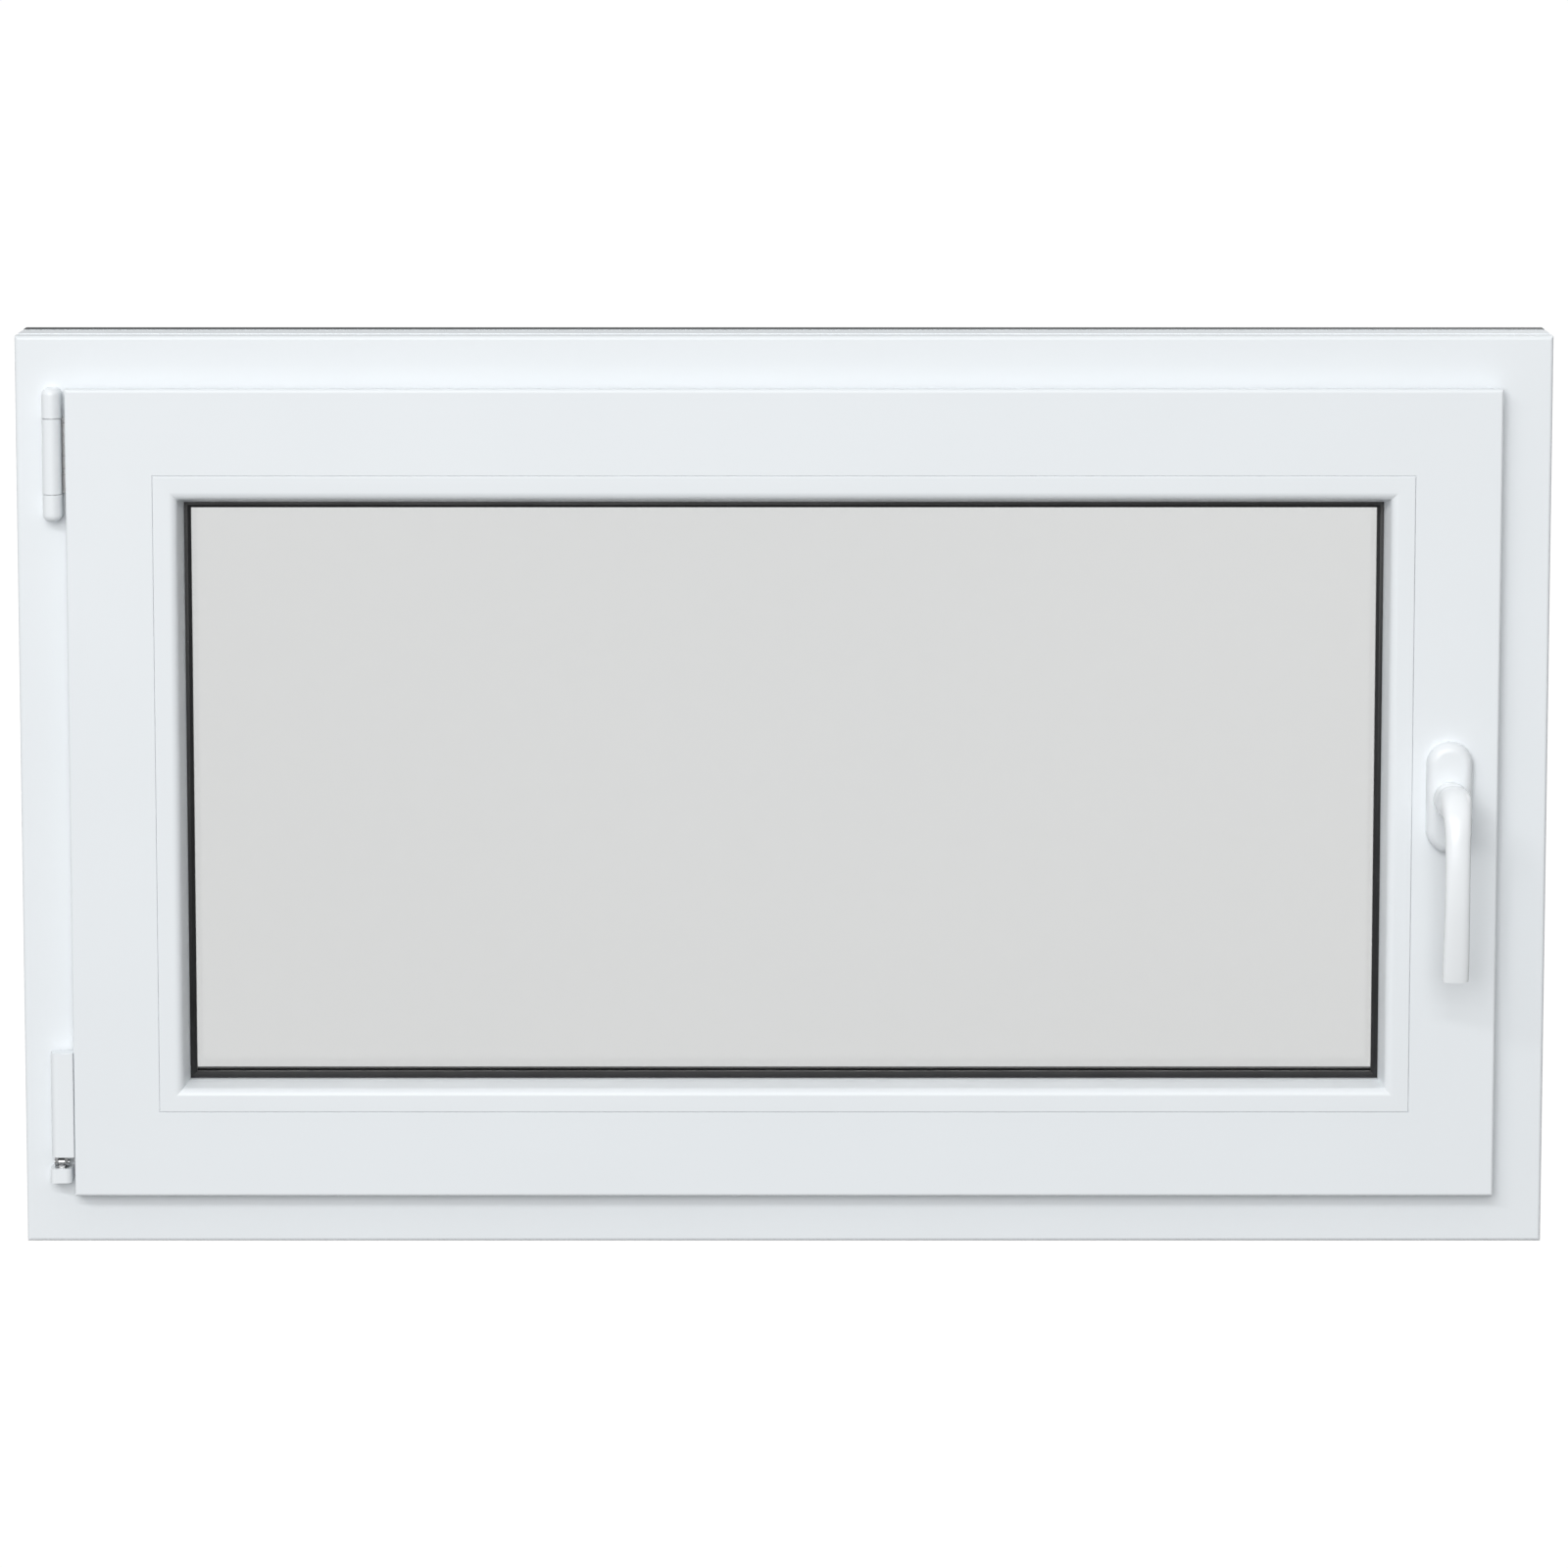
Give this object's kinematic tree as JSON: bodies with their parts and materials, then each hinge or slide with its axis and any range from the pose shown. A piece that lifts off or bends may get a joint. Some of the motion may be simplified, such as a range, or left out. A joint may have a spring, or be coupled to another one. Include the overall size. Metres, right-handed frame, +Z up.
{
  "type": "casement window",
  "caption": "Wide, low white plastic window whose double-glazed sash swings inward on side hinges or tilts in at the top, with a lever handle.",
  "frame": {"origin": "middle of the frame's bottom face, at half the frame's depth", "axes": "+X along the sill to the handle side, +Y towards outdoors, +Z up; the room is on the -Y side"},
  "size_m": [1, 0.1565, 0.6],
  "materials": {
    "white_pvc": "smooth white plastic, slightly satin",
    "white_cover": "moulded white plastic",
    "white_lacquer": "glossy white powder coat on a cast handle",
    "anthracite_foil": "matt grained anthracite foil",
    "black_seal": "matt black rubber",
    "clear_glass": "clear float glass with a light neutral tint",
    "dark_spacer": "matt black warm-edge spacer",
    "blue_packer": "moulded plastic",
    "zinc": "passivated die-cast zinc",
    "galvanised_steel": "galvanised sheet steel",
    "bright_steel": "bright zinc-plated steel"
  },
  "bodies": {
    "frame": {"frame_sill": "white_pvc", "frame_jamb_right": "white_pvc", "frame_head": "white_pvc", "frame_jamb_left": "white_pvc", "frame_reinforcement": "galvanised_steel", "frame_foil": "anthracite_foil", "frame_seal": "black_seal", "drain_caps": "anthracite_foil", "strikers": "zinc", "tilt_striker": "zinc", "striker_screws": "bright_steel", "upper_hinge_bracket": "bright_steel", "upper_hinge_pin": "bright_steel", "upper_hinge_caps": "white_cover", "pivot_rest": "zinc", "pivot_rest_cover": "white_cover", "hinge_screws": "bright_steel"},
    "pivot": {"pivot_swivel": "bright_steel"},
    "sash": {"sash_rail_bottom": "white_pvc", "sash_stile_right": "white_pvc", "sash_rail_top": "white_pvc", "sash_stile_left": "white_pvc", "sash_reinforcement": "galvanised_steel", "sash_foil": "anthracite_foil", "sash_seal": "black_seal", "bead_bottom": "white_pvc", "bead_right": "white_pvc", "bead_top": "white_pvc", "bead_left": "white_pvc", "bead_gasket": "black_seal", "outer_gasket": "black_seal", "glass_room_side": "clear_glass", "glass_outdoor_side": "clear_glass", "glass_spacer": "dark_spacer", "glass_edge_seal": "black_seal", "setting_blocks": "blue_packer", "corner_band": "bright_steel", "corner_band_cover": "white_cover", "tilt_axle": "bright_steel", "stay_rail": "zinc", "corner_drive_top": "zinc", "corner_drive_bottom": "zinc", "gearbox_housing": "zinc", "gearbox_faceplate": "bright_steel", "sash_hardware_screws": "bright_steel", "rosette_base": "zinc", "rosette_cover": "white_cover", "handle_screws": "bright_steel"},
    "stay": {"stay_arm": "bright_steel", "stay_knuckle_cover": "white_cover"},
    "handle": {"handle_grip": "white_lacquer", "handle_glide_ring": "white_cover", "handle_spindle": "bright_steel", "drive_pinion": "bright_steel"},
    "rod_side": {"drive_rod_side": "bright_steel", "side_cams": "bright_steel"},
    "rod_top": {"drive_rod_top": "bright_steel", "top_cams": "bright_steel"},
    "rod_bottom": {"drive_rod_bottom": "bright_steel", "bottom_cams": "bright_steel"}
  },
  "joints": [
    {"name": "turn", "type": "hinge", "parent": "frame", "child": "pivot", "pos_m": [-0.4755, -0.044, 0.0555], "axis": [0, 0, -1], "range_deg": [0, 100]},
    {"name": "tilt", "type": "hinge", "parent": "pivot", "child": "sash", "pos_m": [-0.4755, -0.044, 0.0555], "axis": [1, 0, 0], "range_deg": [0, 8]},
    {"name": "stay_swing", "type": "hinge", "parent": "pivot", "child": "stay", "pos_m": [-0.4755, -0.044, 0.5225], "axis": [0, 0, -1], "range_deg": [0, 16.1]},
    {"name": "handle_turn", "type": "hinge", "parent": "sash", "child": "handle", "pos_m": [0.434, -0.05, 0.3], "axis": [0, 1, 0], "range_deg": [0, 180]},
    {"name": "rod_side_slide", "type": "slide", "parent": "sash", "child": "rod_side", "axis": [0, 0, -1], "range_m": [0, 0.0315]},
    {"name": "rod_top_slide", "type": "slide", "parent": "sash", "child": "rod_top", "axis": [1, 0, 0], "range_m": [0, 0.0315]},
    {"name": "rod_bottom_slide", "type": "slide", "parent": "sash", "child": "rod_bottom", "axis": [-1, 0, 0], "range_m": [0, 0.0315]}
  ],
  "couplings": [
    {"joint": "stay_swing", "follows": "tilt", "ratio": 2},
    {"joint": "rod_side_slide", "follows": "handle_turn", "m_per_rad": 0.01},
    {"joint": "rod_top_slide", "follows": "handle_turn", "m_per_rad": 0.01},
    {"joint": "rod_bottom_slide", "follows": "handle_turn", "m_per_rad": 0.01}
  ]
}
